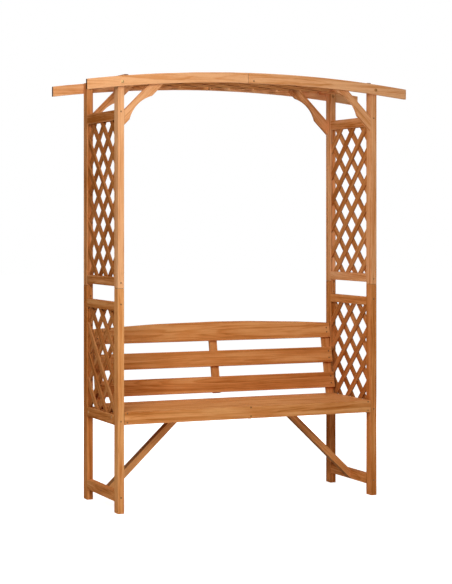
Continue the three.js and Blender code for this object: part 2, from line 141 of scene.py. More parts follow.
# Places of the screws
RAIL_SCREW_SHARES = dict(zip(RAILS, (0.48, 0.44, 0.80, 0.40, 0.80)))
BLOCK_SCREW_INSET = 0.012
BOARD_SCREW_INSET = 0.009
BOARD_SCREW_SPREAD = 0.27  # either side of a seat board's middle, as a share of its width
APRON_SCREW_INSET = 0.0147
APRON_SCREW_TOP, APRON_SCREW_BOTTOM = 0.006, 0.010
APRON_MIDDLE_SCREW = -0.003  # X of the middle pair
SUPPORT_SCREW_INSET = 0.0185
SEAM_SHIFT = 0.024  # to the left of the middle in front, to the right of it at the rear
SEAM_SCREW_SPREAD = 0.027
SEAM_SCREW_DROP = 0.006
BRACKET_LEG = 0.147
BRACKET_SCREW_INSET = 0.016
BATTEN_SCREW_INSET = 0.024

# Bolts, which repeat the sizes of the CAD bolts
BOLT_RADIUS = 0.003
BOLT_HEAD_RADIUS = 0.0075
BOLT_HEAD_HEIGHT = 0.004
WASHER_RADIUS = 0.008
WASHER_THICKNESS = 0.0016
NUT_SIDES = 6
NUT_RADIUS = 0.0058
NUT_HEIGHT = 0.005
THREAD_PROUD = 0.003
THREAD_PITCH = 0.001
THREAD_DEPTH = 0.00035
THREAD_TURNS = 14
CHAMFER = 0.0005
DOME_STEPS = 8
# The front left bolt takes the paler brass as a painted highlight, for the lamp light that it catches.
HIGHLIGHT_BOLT = "beam_bolt_front_left"
BEARER_BOLTS = ((-0.154, 0.419), (0.159, 0.409))  # along the seat rail and above the ground

# Floor and light
FLOOR_SIZE = 60
FLOOR_COLOUR = (0.9, 0.9, 0.9)
FLOOR_ROUGHNESS = 0.9
FLOOR_GLOW = 0.80  # as far as GLOW_NEAR from the middle, from where it rises to 1 at GLOW_FAR
GLOW_NEAR = 1.2
GLOW_FAR = 3.0
AMBIENT = 0.02
LAMPS = (  # name, place, target, size and power in watts
    ("key", (-2.8, -3.2, 3.0), (0, 0, 1.0), 1.5, 83),
    ("fill", (-1.2, -2.6, 1.8), (0, 0, 1.0), 1.0, 23),
    ("overhead", (-0.2, -0.4, 4.3), (0, 0, 0.6), 3.0, 65),
    ("back", (2.2, 3.2, 2.4), (0, 0, 1.0), 1.5, 60),
)

# Camera, fitted to the straight edges in the photograph
EYE = (-3.1812, -7.2025, 1.300)
YAW = math.radians(23.661)  # to the right of a view along Y
PHOTO_HEIGHT_PX = 584
FOCAL_PX = 1687.43
HORIZON_PX = 218.07  # below the top of the photograph
SENSOR_MM = 36.0

DRAW = random.Random(20)


# Meshes with grain

def cleaned(node):
    """The CAD node's faces, welded, with its flat faces whole."""
    bm = bmesh.new()
    bm.from_mesh(NODES[node].data)
    bmesh.ops.remove_doubles(bm, verts=bm.verts, dist=WELD)
    bmesh.ops.dissolve_limit(bm, angle_limit=FLAT_ANGLE, verts=bm.verts, edges=bm.edges)
    bmesh.ops.recalc_face_normals(bm, faces=bm.faces)
    return bm


def eased(bm, radius):
    """Rounds the long outer edges, and marks the rounded faces in the layer edge."""
    layer = bm.faces.layers.float.new("edge")
    edges = [
        e for e in bm.edges
        if len(e.link_faces) == 2 and e.is_convex and e.calc_length() > SHORTEST_BEVEL
        and e.calc_face_angle(0) > SHARP_ANGLE
    ]
    made = bmesh.ops.bevel(
        bm, geom=edges, offset=radius, segments=BEVEL_STEPS, profile=0.5,
        affect="EDGES", clamp_overlap=True,
    )
    for face in made["faces"]:
        face[layer] = 1.0
    return bm


def linked(name, data):
    obj = bpy.data.objects.new(name, data)
    bpy.context.scene.collection.objects.link(obj)
    return obj


def object_from(bm, name):
    mesh = bpy.data.meshes.new(name)
    bm.to_mesh(mesh)
    bm.free()
    return linked(name, mesh)


def joined(parts):
    """One bmesh from several, which are freed."""
    whole = bmesh.new()
    for part in parts:
        mesh = bpy.data.meshes.new("part")
        part.to_mesh(mesh)
        part.free()
        whole.from_mesh(mesh)
        bpy.data.meshes.remove(mesh)
    return whole


def drilled(bm, cutters):
    """The board with the cutters taken away."""
    if not cutters:
        return bm
    tool = object_from(joined(cutters), "tool")
    board = object_from(bm, "board")
    cut = board.modifiers.new("cut", "BOOLEAN")
    cut.operation = "DIFFERENCE"
    cut.solver = "EXACT"
    cut.object = tool
    result = bpy.data.meshes.new_from_object(board.evaluated_get(bpy.context.evaluated_depsgraph_get()))
    made = bmesh.new()
    made.from_mesh(result)
    used = [tool.data, board.data, result]
    for obj in (tool, board):
        bpy.data.objects.remove(obj)
    for data in used:
        bpy.data.meshes.remove(data)
    return made


class Boards:
    """Boards gathered into one mesh, each with its own tone and place in the log."""

    def __init__(self):
        self.points, self.faces, self.grain, self.tone = [], [], [], []
        self.edge, self.end, self.sharp = [], [], set()
        self.count = 0

    def add(self, bm, along, across, tone, end_share=END_SHARE, side_shade=0.0):
        """Adds a board whose grain runs along. Its faces on the third axis are its sawn sides, which take
        painted shade by the side share.
        """
        along = along.normalized()
        across = (across - across.dot(along) * along).normalized()
        basis = np.array([along, across, along.cross(across)])
        co = np.array([v.co for v in bm.verts])
        middle = (co.min(0) + co.max(0)) / 2
        log = [DRAW.uniform(0, LOG_LENGTH), DRAW.uniform(-LOG_SIDE, LOG_SIDE)]
        log.append(DRAW.choice((-1, 1)) * DRAW.uniform(LOG_NEAR, LOG_FAR))
        self.points.append(co)
        self.grain.append((co - middle) @ basis.T + np.array(log))
        self.tone.append(np.full(len(co), tone))
        layer = bm.faces.layers.float.get("edge")
        bm.normal_update()
        bm.verts.index_update()
        for face in bm.faces:
            ahead, _, sideways = np.abs(basis @ np.array(face.normal))
            # End faces get the darker end grain; sawn sides get painted shade, in the same layer.
            share = end_share if ahead > END_COSINE else side_shade if sideways > END_COSINE else 0.0
            self.faces.append([self.count + v.index for v in face.verts])
            self.edge.append(face[layer] if layer else 0.0)
            self.end.append(share)
        for e in bm.edges:
            if len(e.link_faces) != 2 or e.calc_face_angle(0) > SHARP_ANGLE:
                self.sharp.add(tuple(sorted(self.count + v.index for v in e.verts)))
        self.count += len(co)
        bm.free()

    def build(self, name, material, replaced):
        """Makes the piece that stands in for a CAD node."""
        mesh = bpy.data.meshes.new(name)
        mesh.from_pydata(np.concatenate(self.points).tolist(), [], self.faces)
        # The end layer holds both the end grain's darkening and the painted shade on sawn sides.
        for title, kind, place, values in (
            ("grain", "FLOAT_VECTOR", "POINT", np.concatenate(self.grain)),
            ("tone", "FLOAT", "POINT", np.concatenate(self.tone)),
            ("edge", "FLOAT", "FACE", np.array(self.edge)),
            ("end", "FLOAT", "FACE", np.array(self.end)),
        ):
            field = mesh.attributes.new(title, kind, place)
            key = "vector" if kind == "FLOAT_VECTOR" else "value"
            field.data.foreach_set(key, values.astype(np.float32).ravel())
        mesh.polygons.foreach_set("use_smooth", [True] * len(mesh.polygons))
        for e in mesh.edges:
            if tuple(sorted(e.vertices)) in self.sharp:
                e.use_edge_sharp = True
        mesh.validate()
        obj = linked(name, mesh)
        obj.modifiers.new("weighted", "WEIGHTED_NORMAL").keep_sharp = True
        finished(obj, material)
        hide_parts(replaced)


def finished(obj, material):
    """Gives a piece its material and slot, and lets it ride on the body."""
    obj.data.materials.append(material)
    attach(obj, "root")


# Nodes of the materials

def fill_sockets(tree, node, values):
    """Sets or links a node's inputs from numbers, colours and sockets by their index or name."""
    for key, value in values.items():
        if isinstance(value, bpy.types.NodeSocket):
            tree.links.new(value, node.inputs[key])
        elif isinstance(value, tuple) and node.inputs[key].type == "RGBA":
            node.inputs[key].default_value = (*value, 1.0)
        else:
            node.inputs[key].default_value = value
    return node


def math_of(tree, operation, *values):
    made = tree.nodes.new("ShaderNodeMath")
    made.operation = operation
    return fill_sockets(tree, made, dict(enumerate(values))).outputs[0]


def added_share(tree, value, share, amount):
    """The amount plus a share of a value that wanders round a half."""
    return math_of(tree, "MULTIPLY_ADD", math_of(tree, "SUBTRACT", value, 0.5), share, amount)


def mix_colours(tree, factor, first, second):
    """Two colours mixed. The node's colour inputs are the ones numbered 6 and 7."""
    made = tree.nodes.new("ShaderNodeMix")
    made.data_type = "RGBA"
    made.clamp_factor = True
    return fill_sockets(tree, made, {0: factor, 6: first, 7: second}).outputs[2]


def ramp_of(tree, value, stops):
    """A ramp through stops, each a place and a colour or a grey level."""
    made = tree.nodes.new("ShaderNodeValToRGB")
    ramp = made.color_ramp
    while len(ramp.elements) < len(stops):
        ramp.elements.new(0.5)
    for element, (place, colour) in zip(ramp.elements, stops):
        element.position = place
        element.color = (*colour, 1) if isinstance(colour, tuple) else (colour, colour, colour, 1)
    tree.links.new(value, made.inputs[0])
    return made.outputs[0]


def noise_of(tree, vector, stretch, detail, roughness=0.5, distortion=0.0):
    """Noise on a vector whose axes are scaled one by one."""
    scaled = tree.nodes.new("ShaderNodeVectorMath")
    scaled.operation = "MULTIPLY"
    fill_sockets(tree, scaled, {0: vector, 1: stretch})
    noise = tree.nodes.new("ShaderNodeTexNoise")
    return fill_sockets(tree, noise, {
        "Vector": scaled.outputs[0], "Scale": 1.0, "Detail": detail, "Roughness": roughness,
        "Distortion": distortion,
    }).outputs["Fac"]


def attribute_of(tree, name, output):
    made = tree.nodes.new("ShaderNodeAttribute")
    made.attribute_name = name
    return made.outputs[output]


def bump_of(tree, height, strength, distance):
    made = tree.nodes.new("ShaderNodeBump")
    return fill_sockets(tree, made, {"Height": height, "Strength": strength, "Distance": distance}).outputs[0]


def new_material(name):
    material = bpy.data.materials.new(name)
    material.use_nodes = True
    return material, material.node_tree, material.node_tree.nodes["Principled BSDF"]


# Wood

RING_WIDTH = 0.0048
RING_STOPS = [(0.0, 0.12), (0.5, 0.28), (0.84, 1.0), (1.0, 0.08)]
RING_RIPPLE = 0.9
WANDER_ACROSS, WANDER_DEEP = 0.050, 0.070  # how far the pith wanders from a straight line

# Noise on the grain: its scale on each axis, its detail, and its roughness and distortion if given
ACROSS_NOISE = (1.6, 5, 5), 2
DEEP_NOISE = (1.1, 3, 3), 1, 0.4
RIPPLE_NOISE = (9, 90, 90), 2
YEARS_NOISE = (1, 1, 1), 1
BAND_NOISE = (1.3, 52, 52), 3, 0.6, 0.3
CLOUD_NOISE = (3.2, 16, 16), 3, 0.6
THREAD_NOISE = (7, 260, 260), 2, 0.6
FIBRE_NOISE = (20, 820, 820), 3, 0.6
PORE_NOISE = (55, 2100, 2100), 1
RUB_NOISE = (24, 70, 70), 3, 0.7

# How much each mark deepens the stain
LATE_SHARE = 0.36
BAND_SHARE, BAND_STOPS = 0.58, [(0.34, 0.0), (0.66, 1.0)]
YEARS_SHARE, YEARS_STOPS = 0.30, [(0.36, 0.0), (0.64, 1.0)]
YEARS_LENGTH = 0.012  # from the pith outwards, over which dark and pale years change
THREAD_SHARE, FIBRE_SHARE, CLOUD_SHARE = 0.60, 0.44, 1.22
TONE_SHARE = 0.30
MIDDLE_STOP = 0.45  # the depth of stain that has the middle colour

# Pores, rubbed edges, and ends, whose dark end-grain colour also paints shade on sawn sides
PORE_STOPS = [(0.30, 1.0), (0.40, 0.0)]
PORE_SHARE, PORE_DARKNESS = 0.25, 0.45
RUB_STOPS = [(0.42, 0.0), (0.62, 0.45)]
END_AND_SHADE_STRENGTH = 0.9
END_GRAIN_AND_SHADE = (0.070, 0.022, 0.006)

# Gloss and relief
WOOD_ROUGHNESS, FIBRE_ROUGHNESS, LATE_ROUGHNESS = 0.50, 0.24, -0.08
FIBRE_HEIGHT, LATE_HEIGHT, PORE_HEIGHT = 0.6, 0.5, -0.5
WOOD_BUMP = 0.4, 0.0004  # strength and distance
COAT_WEIGHT, COAT_ROUGHNESS = 0.03, 0.40


def growth_rings(tree, grain):
    """The distance from the pith, and the dark late wood of each ring."""
    parts = tree.nodes.new("ShaderNodeSeparateXYZ")
    tree.links.new(grain, parts.inputs[0])
    # The rings wander slowly along the board, which draws long arches on its faces.
    across = added_share(tree, noise_of(tree, grain, *ACROSS_NOISE), WANDER_ACROSS, parts.outputs[1])
    depth = added_share(tree, noise_of(tree, grain, *DEEP_NOISE), WANDER_DEEP, parts.outputs[2])
    squares = [math_of(tree, "MULTIPLY", value, value) for value in (across, depth)]
    radius = math_of(tree, "SQRT", math_of(tree, "ADD", *squares))
    rings = math_of(tree, "DIVIDE", radius, RING_WIDTH)
    ripple = math_of(tree, "MULTIPLY", noise_of(tree, grain, *RIPPLE_NOISE), RING_RIPPLE)
    place = math_of(tree, "FRACT", math_of(tree, "ADD", rings, ripple))
    return radius, ramp_of(tree, place, RING_STOPS)


def stain_depth(tree, grain, tone, fibre):
    """How deep the stain is, and the late wood of the rings."""
    radius, late = growth_rings(tree, grain)
    line = tree.nodes.new("ShaderNodeCombineXYZ")
    tree.links.new(math_of(tree, "DIVIDE", radius, YEARS_LENGTH), line.inputs[0])
    years = ramp_of(tree, noise_of(tree, line.outputs[0], *YEARS_NOISE), YEARS_STOPS)
    band = ramp_of(tree, noise_of(tree, grain, *BAND_NOISE), BAND_STOPS)
    thread = noise_of(tree, grain, *THREAD_NOISE)
    cloud = noise_of(tree, grain, *CLOUD_NOISE)
    amount = math_of(tree, "MULTIPLY_ADD", late, LATE_SHARE, -LATE_SHARE / 2)
    for value, share in ((band, BAND_SHARE), (years, YEARS_SHARE)):
        amount = math_of(tree, "MULTIPLY_ADD", value, share, amount)
    for value, share in ((thread, THREAD_SHARE), (fibre, FIBRE_SHARE), (cloud, CLOUD_SHARE)):
        amount = added_share(tree, value, share, amount)
    return math_of(tree, "MULTIPLY_ADD", tone, TONE_SHARE, amount), late


def wood_material(name, pale, middle, deep, worn):
    """Stained softwood: rings, fibres, stain that gathers in streaks and clouds, and darker ends, whose
    colour also paints shade on the sawn sides of some boards.
    """
    material, tree, shader = new_material(name)
    grain = attribute_of(tree, "grain", "Vector")
    tone, edge, end = (attribute_of(tree, title, "Fac") for title in ("tone", "edge", "end"))
    fibre = noise_of(tree, grain, *FIBRE_NOISE)
    pores = ramp_of(tree, noise_of(tree, grain, *PORE_NOISE), PORE_STOPS)
    amount, late = stain_depth(tree, grain, tone, fibre)

    colour = ramp_of(tree, amount, [(0.0, pale), (MIDDLE_STOP, middle), (1.0, deep)])
    dark = tuple(channel * PORE_DARKNESS for channel in deep)
    colour = mix_colours(tree, math_of(tree, "MULTIPLY", pores, PORE_SHARE), colour, dark)
    rub = ramp_of(tree, noise_of(tree, grain, *RUB_NOISE), RUB_STOPS)
    colour = mix_colours(tree, math_of(tree, "MULTIPLY", edge, rub), colour, worn)
    # Dark end grain on the ends, and painted shade on the sawn sides that the end layer marks.
    colour = mix_colours(tree, math_of(tree, "MULTIPLY", end, END_AND_SHADE_STRENGTH), colour, END_GRAIN_AND_SHADE)

    rough = math_of(tree, "MULTIPLY_ADD", fibre, FIBRE_ROUGHNESS, WOOD_ROUGHNESS)
    rough = math_of(tree, "MULTIPLY_ADD", late, LATE_ROUGHNESS, rough)
    height = math_of(tree, "MULTIPLY", fibre, FIBRE_HEIGHT)
    height = math_of(tree, "MULTIPLY_ADD", late, LATE_HEIGHT, height)
    height = math_of(tree, "MULTIPLY_ADD", pores, PORE_HEIGHT, height)
    # A thin coat carries the gloss, because it stays faint at a grazing view.
    fill_sockets(tree, shader, {
        "Base Color": colour, "Roughness": rough, "Specular IOR Level": 0.0,
        "Coat Weight": COAT_WEIGHT, "Coat Roughness": COAT_ROUGHNESS,
        "Normal": bump_of(tree, height, *WOOD_BUMP),
    })
    return material


FRAME_WOOD = wood_material(
    "frame_wood", pale=(0.86, 0.44, 0.205), middle=(0.70, 0.285, 0.098),
    deep=(0.42, 0.125, 0.020), worn=(0.84, 0.47, 0.24),
)
LATTICE_WOOD = wood_material(
    "lattice_wood", pale=(0.68, 0.29, 0.100), middle=(0.55, 0.195, 0.050),
    deep=(0.32, 0.088, 0.013), worn=(0.70, 0.36, 0.16),
)
SEAT_WOOD = wood_material(
    "seat_wood", pale=(0.80, 0.37, 0.130), middle=(0.66, 0.245, 0.068),
    deep=(0.42, 0.120, 0.018), worn=(0.78, 0.40, 0.17),
)


# Metal

FILM_NOISE = (160, 160, 160), 3, 0.6
FILM_STOPS = [(0.35, 0.0), (0.7, 1.0)]
SCUFF_NOISE = (900, 900, 2400), 2, 0.6
SCUFF_ROUGHNESS = 0.3
METAL_BUMP = 0.2, 0.0002  # strength and distance


def metal_material(name, colour, dark, roughness):
    """Plated steel with a patchy film and fine scuffs."""
    material, tree, shader = new_material(name)
    place = tree.nodes.new("ShaderNodeTexCoord").outputs["Object"]
    film = ramp_of(tree, noise_of(tree, place, *FILM_NOISE), FILM_STOPS)
    scuff = noise_of(tree, place, *SCUFF_NOISE)
    fill_sockets(tree, shader, {
        "Metallic": 1.0, "Base Color": mix_colours(tree, film, colour, dark),
        "Roughness": math_of(tree, "MULTIPLY_ADD", scuff, SCUFF_ROUGHNESS, roughness),
        "Normal": bump_of(tree, scuff, *METAL_BUMP),
    })
    return material


# Paler, shinier brass that paints the highlight on one bolt.
HIGHLIGHT_BRASS = metal_material(
    "bolt_brass", colour=(0.50, 0.33, 0.15), dark=(0.30, 0.17, 0.07), roughness=0.34)
TARNISHED = metal_material(
    "bolt_tarnished", colour=(0.38, 0.180, 0.060), dark=(0.18, 0.078, 0.022), roughness=0.42)
BRONZE = metal_material(
    "screw_bronze", colour=(0.32, 0.155, 0.062), dark=(0.15, 0.065, 0.024), roughness=0.45)


# Round pieces

def ring(bm, radius, height, steps):
    """A ring of points round local Z."""
    angles = (2 * math.pi * i / steps for i in range(steps))
    return [bm.verts.new((radius * math.cos(a), radius * math.sin(a), height)) for a in angles]


def bridged(bm, lower, upper):
    """Faces between two rings."""
    for i, (a, b) in enumerate(zip(lower, upper)):
        bm.faces.new((a, lower[(i + 1) % len(lower)], upper[(i + 1) % len(upper)], b))


def turned_piece(profile, steps=ROUND_STEPS):
    """A round piece from radius and height pairs along local Z, from its foot to its top."""
    bm = bmesh.new()
    rims = [ring(bm, radius, height, steps) for radius, height in profile]
    bm.faces.new(reversed(rims[0]))
    for lower, upper in zip(rims, rims[1:]):
        bridged(bm, lower, upper)
    bm.faces.new(rims[-1])
    return bm


def facing(point, normal):
    """A place on a surface: local Z points out of it."""
    side = X if abs(normal.dot(X)) < ALONG_COSINE else Y
    across = (side - side.dot(normal) * normal).normalized()
    turned = Matrix((across, normal.cross(across), normal)).transposed().to_4x4()
    return Matrix.Translation(point) @ turned


# Screws

screws = {}  # by the board that they sink into: each screw's place, and the group that it is built in


def screw(node, group, point, normal):
    """Sinks a screw into a board, at a point of its surface."""
    place = facing(Vector(point), Vector(normal).normalized())
    screws.setdefault(node, []).append((place, group))


def countersink(place):
    """The hole that a screw's head sinks into."""
    bm = turned_piece([
        (SHANK_RADIUS, -HOLE_DEPTH), (SHANK_RADIUS, -HEAD_SINK - SINK_DEPTH),
        (SINK_RADIUS, -HEAD_SINK), (SINK_RADIUS, SINK_RADIUS),
    ])
    bm.transform(place)
    return bm


def screw_head(place, turn):
    """A countersunk head with a cross recess."""
    bm = bmesh.new()
    top = -HEAD_SINK
    rim = ring(bm, HEAD_RADIUS, top, ROUND_STEPS)
    cone = ring(bm, HEAD_FOOT_RADIUS, top - HEAD_DEPTH, ROUND_STEPS)
    bridged(bm, cone, rim)
    bm.faces.new(reversed(cone))
    reach, half = RECESS_REACH, RECESS_WIDTH / 2
    arm = [Vector(spot) for spot in ((reach, -half), (reach, half), (half, half))]
    cross = [Matrix.Rotation(step * math.pi / 2, 2) @ spot for step in range(4) for spot in arm]
    lip = [bm.verts.new((x, y, top)) for x, y in cross]
    taper_x, taper_y = RECESS_TAPER
    floor = [bm.verts.new((x * taper_x, y * taper_y, top - RECESS_DEPTH)) for x, y in cross]
    loops = [
        bm.edges.get((p, q)) or bm.edges.new((p, q))
        for loop in (rim, lip) for p, q in zip(loop, loop[1:] + loop[:1])
    ]
    bmesh.ops.triangle_fill(bm, use_beauty=True, use_dissolve=False, edges=loops)
    bridged(bm, lip, floor)
    bm.faces.new(floor)
    bmesh.ops.recalc_face_normals(bm, faces=bm.faces)
    bm.transform(place @ Matrix.Rotation(turn, 4, "Z"))
    return bm


def outer_y(node, way):
    """The node's limit to the rear, or to the front where way is below zero."""
    low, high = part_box(node)
    return high.y if way > 0 else low.y


def place_rail_screws(side, face, way):
    """Through the posts into the ends of the rails."""
    for rail, share in RAIL_SCREW_SHARES.items():
        low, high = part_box(f"{rail}_{side}")
        level = "upper" if "upper" in rail else "lower"
        post = f"{level}_post_{face}_{side}"
        spot = ((low.x + high.x) / 2, outer_y(post, way), low.z + share * (high.z - low.z))
        screw(post, f"{side}_frame", spot, (0, way, 0))


def place_block_screws(side, face, way):
    """Through the joint block, one into each post."""
    block = f"joint_block_{face}_{side}"
    low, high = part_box(block)
    for z in (low.z + BLOCK_SCREW_INSET, high.z - BLOCK_SCREW_INSET):
        spot = ((low.x + high.x) / 2, outer_y(block, -way), z)
        screw(block, f"{side}_frame", spot, (0, -way, 0))


def place_brace_screw(side, hand):
    """Through the foot rail, from outside, into the foot of the brace."""
    foot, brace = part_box(f"foot_rail_{side}"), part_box(f"seat_brace_{side}")
    x = foot[1].x if hand > 0 else foot[0].x
    spot = (x, (brace[0].y + brace[1].y) / 2, (foot[0].z + foot[1].z) / 2)
    screw(f"foot_rail_{side}", f"{side}_frame", spot, (hand, 0, 0))


def place_frame_screws():
    for side, hand in SIDES.items():
        for face, way in FACES.items():
            place_rail_screws(side, face, way)
            place_block_screws(side, face, way)
        place_brace_screw(side, hand)


def place_seat_screws():
    low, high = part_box("seat_apron")
    for x in (low.x + APRON_SCREW_INSET, APRON_MIDDLE_SCREW, high.x - APRON_SCREW_INSET):
        for z in (high.z - APRON_SCREW_TOP, low.z + APRON_SCREW_BOTTOM):
            screw("seat_apron", "seat", (x, low.y, z), (0, -1, 0))
    for board in seat_boards():
        low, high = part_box(board)
        middle, reach = (low.y + high.y) / 2, (high.y - low.y) * BOARD_SCREW_SPREAD
        for x in (low.x + BOARD_SCREW_INSET, 0, high.x - BOARD_SCREW_INSET):
            for y in (middle - reach, middle + reach):
                screw(board, "seat", (x, y, high.z), (0, 0, 1))


def seat_boards():
    return sorted(node for node in NODES if node.startswith("seat_board_"))


def back_slope():
    """The back rest's direction up its slope, and the way its front faces."""
    return Vector((0, BACK_LEAN, 1)).normalized(), Vector((0, -1, BACK_LEAN)).normalized()


def place_back_screws():
    slope, normal = back_slope()
    for name, width in BACK_SLAT_WIDTHS.items():
        node = f"back_slat_{name}"
        low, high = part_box(node)
        # The slat's foremost corner is the lower one of its front face.
        corner = Vector((0, low.y, low.z + BACK_SLAT_THICKNESS * normal.z))
        for x in (low.x + SUPPORT_SCREW_INSET, high.x - SUPPORT_SCREW_INSET):
            for share in BACK_SCREW_SHARES[name]:
                spot = corner + slope * (width * share)
                screw(node, "back", (x, spot.y, spot.z), normal)


def place_seam_screws(face, way):
    """One half is screwed to the splice plate through its face, the other from the plate's side."""
    seam = SEAM_SHIFT * way
    beam, plate = f"beam_{face}_right", f"splice_plate_{face}"
    low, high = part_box(plate)
    level = (low.z + high.z) / 2 - SEAM_SCREW_DROP
    for x, node, out in ((seam + SEAM_SCREW_SPREAD, beam, way), (seam - SEAM_SCREW_SPREAD, plate, -way)):
        screw(node, "roof", (x, outer_y(node, out), level), (0, out, 0))


def place_bracket_screws(face, side, hand):
    """Into the straight outer edge of the bracket, near its ends."""
    bracket = f"bracket_{face}_{side}"
    low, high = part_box(bracket)
    foot = Vector((high.x if hand > 0 else low.x, (low.y + high.y) / 2, high.z - BRACKET_LEG))
    length = BRACKET_LEG / HALF_ROOT
    for distance in (BRACKET_SCREW_INSET, length - BRACKET_SCREW_INSET):
        spot = foot + Vector((-hand, 0, 1)) * (distance * HALF_ROOT)
        screw(bracket, "roof", spot, (hand, 0, 1))


def place_batten_screws(side):
    batten = f"roof_batten_{side}"
    low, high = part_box(batten)
    for y in (low.y + BATTEN_SCREW_INSET, high.y - BATTEN_SCREW_INSET):
        screw(batten, "roof", ((low.x + high.x) / 2, y, low.z), (0, 0, -1))


def place_roof_screws():
    for face, way in FACES.items():
        place_seam_screws(face, way)
        for side, hand in SIDES.items():
            place_bracket_screws(face, side, hand)
    for side in SIDES:
        place_batten_screws(side)


def build_screws():
    groups = {}
    for placed in screws.values():
        for place, group in placed:
            groups.setdefault(group, []).append(place)
    for group, places in sorted(groups.items()):
        heads = joined([screw_head(place, DRAW.uniform(0, math.pi / 2)) for place in places])
        finished(object_from(heads, f"screws_{group}"), BRONZE)


# Boards that keep the CAD shape

def tone_of(node):
    tone = next(tone for start, tone in TONES_AND_PAINTED_LIGHT if node.startswith(start))
    return tone + DRAW.uniform(-TONE_SPREAD, TONE_SPREAD)


def board(node, along, across, slot="frame_wood", radius=FRAME_BEVEL, end_share=END_SHARE,
          side_shade=0.0):
    """A board of the CAD shape with rounded edges."""
    material = SEAT_WOOD if node.startswith(LOWER_BOARDS) else FRAME_WOOD
    bm = eased(cleaned(node), radius)
    bm = drilled(bm, [countersink(place) for place, _ in screws.get(node, [])])
    parts = Boards()
    parts.add(bm, along, across, tone_of(node), end_share, side_shade)
    parts.build(f"{node}_board", material, node)


def seat_board(node, across, end_share=END_SHARE):
    board(node, X, across, "seat_wood", SEAT_BEVEL, end_share)


def build_frames():
    for side, hand in SIDES.items():
        for face in FACES:
            for level in ("lower", "upper"):
                board(f"{level}_post_{face}_{side}", Z, X)
            board(f"joint_block_{face}_{side}", Z, X)
        for rail in RAILS:
            board(f"{rail}_{side}", Y, Z)
        low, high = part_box(f"seat_brace_{side}")
        rise = Vector((-hand * (high.x - low.x), 0, high.z - low.z))
        # The brace's sawn sides, its upper face among them, take painted shade for the shadow under the seat.
        board(f"seat_brace_{side}", rise, Y, side_shade=BRACE_SIDE_SHADE)
        board(f"seat_bearer_{side}", Y, Z)
        board(f"roof_batten_{side}", Y, X)


def build_roof():
    for face in FACES:
        for side, hand in SIDES.items():
            board(f"beam_{face}_{side}", X, Z)
            board(f"bracket_{face}_{side}", Vector((-hand, 0, 1)), Y)
        board(f"splice_plate_{face}", X, Z)


def build_seat():
    seat_board("seat_apron", Z)
    for node in seat_boards():
        seat_board(node, Y)
    board("seat_rear_rail", X, Z)
    board("seat_bearer_middle", Y, Z)


def build_back():
    slope, _ = back_slope()
    for name in BACK_SLAT_WIDTHS:
        seat_board(f"back_slat_{name}", slope, BACK_END_SHARE)
    for name in ("left", "right", "middle"):
        board(f"back_support_{name}", slope, X)


# Lattice panels, slat by slat

def slat_reach(panel, foot, run):
    """How far a slat goes to the panel's long edges, less the blocks that stand in its way."""
    half_height = panel["height"] / 2
    reach = []
    for edge in (-1, 1):
        meets = foot.x + (edge * half_height - foot.y) * run.x / run.y
        near = [
            block for block in panel["blocks"]
            if block["edge"] == edge
            and abs(meets - block["centre"]) <= block["length"] / 2 + SLAT_WIDTH * HALF_ROOT
        ]
        reach.append(edge * (half_height - (near[0]["depth"] if near else 0)))
    return reach


def cut_inside(bm, limits):
    """Keeps what lies inside some planes, each given by a point and the way out."""
    for point, out in limits:
        geom = bm.verts[:] + bm.edges[:] + bm.faces[:]
        cut = bmesh.ops.bisect_plane(bm, geom=geom, plane_co=point, plane_no=out, clear_outer=True)
        rim = [e for e in cut["geom_cut"] if isinstance(e, bmesh.types.BMEdge)]
        if rim:
            bmesh.ops.edgeloop_fill(bm, edges=rim)
    bmesh.ops.recalc_face_normals(bm, faces=bm.faces)


def slat(panel, lean, step, height):
    """One slat in the panel's plane and the way it runs, or None where it would cross no other."""
    angle = lean * math.pi / 4
    run = Vector((math.cos(angle), math.sin(angle)))
    away = Vector((-run.y, run.x))
    foot = panel["crossing"] + away * (step * SLAT_SPACING)
    half_width = panel["width"] / 2
    reach = slat_reach(panel, foot, run)
    across = sorted((limit - foot.x) / run.x for limit in (-half_width, half_width))
    along = sorted((limit - foot.y) / run.y for limit in reach)
    start, end = max(across[0], along[0]), min(across[1], along[1])
    if math.floor(end / SLAT_SPACING) * SLAT_SPACING < start:
        return None
    bm = bmesh.new()
    bmesh.ops.create_cube(bm, size=1)
    more_than_enough = 2 * (panel["width"] + panel["height"])
    bm.transform(Matrix.Diagonal((more_than_enough, SLAT_WIDTH, panel["thickness"], 1)))
    bm.transform(Matrix.Translation((foot.x, foot.y, height)) @ Matrix.Rotation(angle, 4, "Z"))
    cut_inside(bm, (
        ((half_width, 0, 0), X), ((-half_width, 0, 0), -X), ((0, reach[1], 0), Y), ((0, reach[0], 0), -Y),
    ))
    return eased(bm, SLAT_BEVEL), Vector((run.x, run.y, 0))


def lattice(node, panel, place, side_shade=SLAT_SIDE_SHADE):
    """All slats of a panel, moved to their place, as one piece."""
    parts = Boards()
    base = tone_of(node)
    most = math.ceil((panel["width"] + panel["height"]) / SLAT_SPACING)
    turn = place.to_3x3()
    for lean in (-1, 1):
        for step in range(-most, most + 1):
            made = slat(panel, lean, step, lean * panel["thickness"] / 2)
            if made:
                bm, along = made
                bm.transform(place)
                tone = base + DRAW.uniform(-LATTICE_SPREAD, LATTICE_SPREAD)
                # The slats' sawn sides take painted shade.
                parts.add(bm, turn @ along, turn @ Z, tone, END_SHARE, side_shade)
    parts.build(f"{node}_slats", LATTICE_WOOD, node)
    staples(node, panel, place, most)


